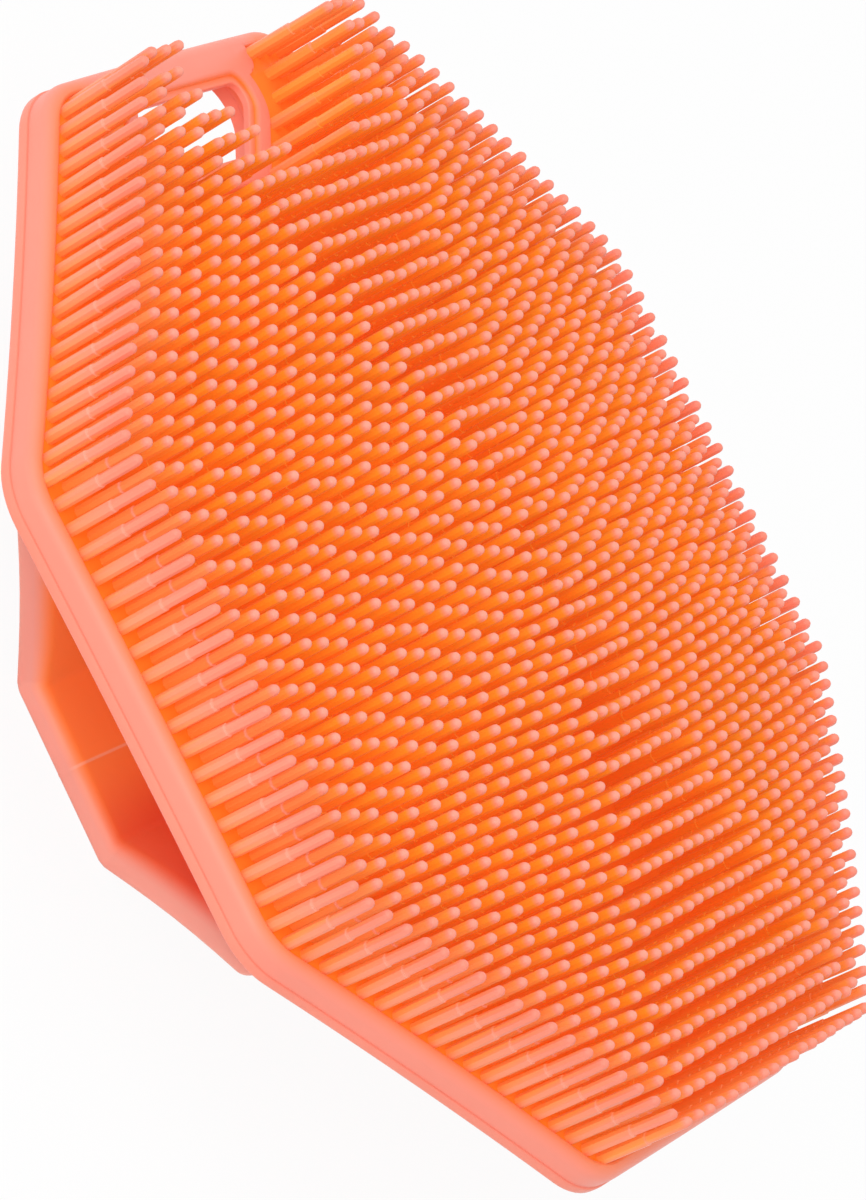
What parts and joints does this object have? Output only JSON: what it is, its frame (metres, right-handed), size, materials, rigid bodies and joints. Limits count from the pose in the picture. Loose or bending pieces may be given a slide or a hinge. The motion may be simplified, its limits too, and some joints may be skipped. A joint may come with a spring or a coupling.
{
  "type": "silicone body brush",
  "caption": "Soft silicone body brush: bowed octagonal pad with a dense field of bristles, a wide hang hole and a hand strap behind it.",
  "frame": {"origin": "centre of the strap's flat outer face, below the middle of the pad", "axes": "+Z from the hand strap to the bristles, +X away from the hang hole, Y along the strap's width"},
  "size_m": [0.1302, 0.1298, 0.0407],
  "materials": {
    "front_pad": "satin translucent silicone, salmon orange",
    "back_skin": "satin translucent silicone, salmon orange",
    "hang_hole_lip": "satin translucent silicone, pale salmon",
    "bristles": "satin translucent silicone, bright orange",
    "strap_grip": "satin translucent silicone, salmon orange",
    "strap_leg": "satin translucent silicone, deep orange"
  },
  "bodies": {
    "root": {"front_pad": "front_pad", "back_skin": "back_skin", "hang_hole_lip": "hang_hole_lip", "bristles_1": "bristles", "bristles_2": "bristles", "bristles_3": "bristles", "bristles_4": "bristles", "bristles_5": "bristles", "bristles_6": "bristles", "bristles_7": "bristles", "bristles_8": "bristles", "strap_grip": "strap_grip", "strap_leg_1": "strap_leg", "strap_leg_2": "strap_leg"}
  },
  "joints": []
}
